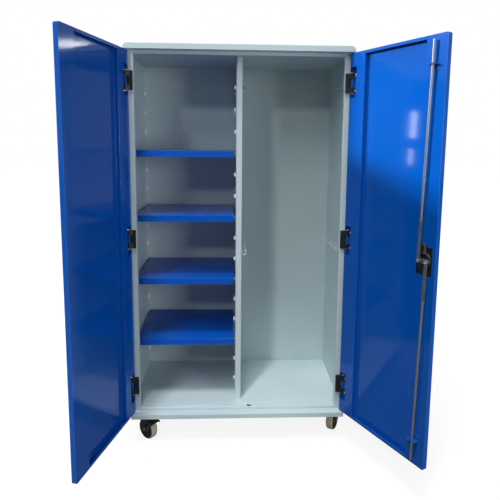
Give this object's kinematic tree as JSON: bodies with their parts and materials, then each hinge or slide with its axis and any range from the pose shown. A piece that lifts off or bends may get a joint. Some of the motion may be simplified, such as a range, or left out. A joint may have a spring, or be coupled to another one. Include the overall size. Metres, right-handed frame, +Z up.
{
  "type": "cleaning supply cabinet",
  "caption": "Double-door steel storage cabinet on swivel casters, with a shelved bay, a tall open bay with hooks, and a turn-handle rod lock.",
  "frame": {"origin": "floor level under the middle of the base", "axes": "front faces -Y, +X right, +Z up"},
  "size_m": [1.3523, 0.9848, 1.832],
  "materials": {
    "carcass_grey": "light grey powder coat, semi-gloss, fine orange peel",
    "door_blue": "bright blue powder coat, semi-gloss to gloss",
    "shelf_blue": "bright blue powder coat, semi-gloss",
    "zinc": "bright zinc plate",
    "hinge_black": "black oxide, satin",
    "lock_black": "black glass-filled nylon, fine texture",
    "key_chrome": "nickel plate",
    "caster_black": "black stove enamel",
    "pedal_black": "black moulded plastic",
    "axle_zinc": "zinc plate",
    "wheel_cream": "cream nylon, satin, lightly scuffed tread"
  },
  "bodies": {
    "cabinet": {"left_side_panel": "carcass_grey", "right_side_panel": "carcass_grey", "back_panel": "carcass_grey", "top_cap": "carcass_grey", "ceiling_panel": "carcass_grey", "floor_pan": "carcass_grey", "base_frame": "carcass_grey", "divider": "carcass_grey", "uprights_wall": "carcass_grey", "uprights_divider": "carcass_grey", "hook_rail_wall": "carcass_grey", "hook_rail_divider": "carcass_grey", "hanger_brackets": "carcass_grey", "shelf_1": "shelf_blue", "shelf_2": "shelf_blue", "shelf_3": "shelf_blue", "shelf_4": "shelf_blue", "shelf_clips": "zinc", "hinge_blocks_left": "hinge_black", "hinge_blocks_right": "hinge_black", "hinge_screws": "hinge_black", "caster_plates": "zinc", "caster_bolts": "zinc"},
    "left_door": {"left_door_skin": "door_blue", "left_door_channel": "door_blue", "left_edge_channel": "door_blue", "left_leaf_screws": "zinc", "left_hinge_pins": "hinge_black", "left_hinge_leaves": "hinge_black"},
    "right_door": {"right_door_skin": "door_blue", "right_door_channel": "door_blue", "right_edge_channel": "door_blue", "right_leaf_screws": "zinc", "right_hinge_pins": "hinge_black", "right_hinge_leaves": "hinge_black", "rod_guides": "door_blue", "lock_housing": "lock_black", "lock_screws": "zinc"},
    "handle": {"turn_handle": "lock_black", "lock_cam": "zinc", "cam_nut": "zinc"},
    "key": {"key_plug": "key_chrome"},
    "rod_up": {"upper_rod": "zinc"},
    "rod_down": {"lower_rod": "zinc"},
    "swivel_front_left": {"fork_front_left": "caster_black", "axle_front_left": "axle_zinc"},
    "roller_front_left": {"wheel_front_left": "wheel_cream"},
    "brake_front_left": {"pedal_front_left": "pedal_black"},
    "swivel_front_right": {"fork_front_right": "caster_black", "axle_front_right": "axle_zinc"},
    "roller_front_right": {"wheel_front_right": "wheel_cream"},
    "brake_front_right": {"pedal_front_right": "pedal_black"},
    "swivel_back_left": {"fork_back_left": "caster_black", "axle_back_left": "axle_zinc"},
    "roller_back_left": {"wheel_back_left": "wheel_cream"},
    "swivel_back_right": {"fork_back_right": "caster_black", "axle_back_right": "axle_zinc"},
    "roller_back_right": {"wheel_back_right": "wheel_cream"}
  },
  "joints": [
    {"name": "left_door_hinge", "type": "hinge", "parent": "cabinet", "child": "left_door", "pos_m": [-0.494, -0.2415, 0.979], "axis": [0, 0, 1], "range_deg": [-20, 104]},
    {"name": "right_door_hinge", "type": "hinge", "parent": "cabinet", "child": "right_door", "pos_m": [0.494, -0.2415, 0.979], "axis": [0, 0, 1], "range_deg": [-118, 6]},
    {"name": "handle_turn", "type": "hinge", "parent": "right_door", "child": "handle", "pos_m": [0.70127, -0.63132, 0.979], "axis": [0.8829, 0.4695, 0], "range_deg": [0, 90]},
    {"name": "key_turn", "type": "hinge", "parent": "handle", "child": "key", "pos_m": [0.70127, -0.63132, 0.979], "axis": [0.8829, 0.4695, 0], "range_deg": [0, 90]},
    {"name": "upper_rod_pivot", "type": "hinge", "parent": "handle", "child": "rod_up", "pos_m": [0.67163, -0.6267, 0.979], "axis": [0.8829, 0.4695, 0], "range_deg": [-91.44, 0]},
    {"name": "lower_rod_pivot", "type": "hinge", "parent": "handle", "child": "rod_down", "pos_m": [0.68853, -0.65848, 0.979], "axis": [0.8829, 0.4695, 0], "range_deg": [-91.44, 0]},
    {"name": "swivel_front_left", "type": "hinge", "parent": "cabinet", "child": "swivel_front_left", "pos_m": [-0.456, -0.1765, 0.1165], "axis": [0, 0, 1], "continuous": true},
    {"name": "roll_front_left", "type": "hinge", "parent": "swivel_front_left", "child": "roller_front_left", "pos_m": [-0.43073, -0.19925, 0.05], "axis": [-0.6691, -0.7431, 0], "continuous": true},
    {"name": "brake_front_left", "type": "hinge", "parent": "swivel_front_left", "child": "brake_front_left", "pos_m": [-0.43965, -0.19122, 0.088], "axis": [-0.6691, -0.7431, 0], "range_deg": [0, 14]},
    {"name": "swivel_front_right", "type": "hinge", "parent": "cabinet", "child": "swivel_front_right", "pos_m": [0.456, -0.1765, 0.1165], "axis": [0, 0, 1], "continuous": true},
    {"name": "roll_front_right", "type": "hinge", "parent": "swivel_front_right", "child": "roller_front_right", "pos_m": [0.473, -0.14705, 0.05], "axis": [0.866, -0.5, 0], "continuous": true},
    {"name": "brake_front_right", "type": "hinge", "parent": "swivel_front_right", "child": "brake_front_right", "pos_m": [0.467, -0.15745, 0.088], "axis": [0.866, -0.5, 0], "range_deg": [0, 14]},
    {"name": "swivel_back_left", "type": "hinge", "parent": "cabinet", "child": "swivel_back_left", "pos_m": [-0.456, 0.1765, 0.1165], "axis": [0, 0, 1], "continuous": true},
    {"name": "roll_back_left", "type": "hinge", "parent": "swivel_back_left", "child": "roller_back_left", "pos_m": [-0.46763, 0.20845, 0.05], "axis": [0.9397, 0.342, 0], "continuous": true},
    {"name": "swivel_back_right", "type": "hinge", "parent": "cabinet", "child": "swivel_back_right", "pos_m": [0.456, 0.1765, 0.1165], "axis": [0, 0, 1], "continuous": true},
    {"name": "roll_back_right", "type": "hinge", "parent": "swivel_back_right", "child": "roller_back_right", "pos_m": [0.4648, 0.20934, 0.05], "axis": [0.9659, -0.2588, 0], "continuous": true}
  ],
  "couplings": [
    {"joint": "upper_rod_pivot", "follows": "handle_turn", "ratio": -1.0159},
    {"joint": "lower_rod_pivot", "follows": "handle_turn", "ratio": -1.0159}
  ]
}
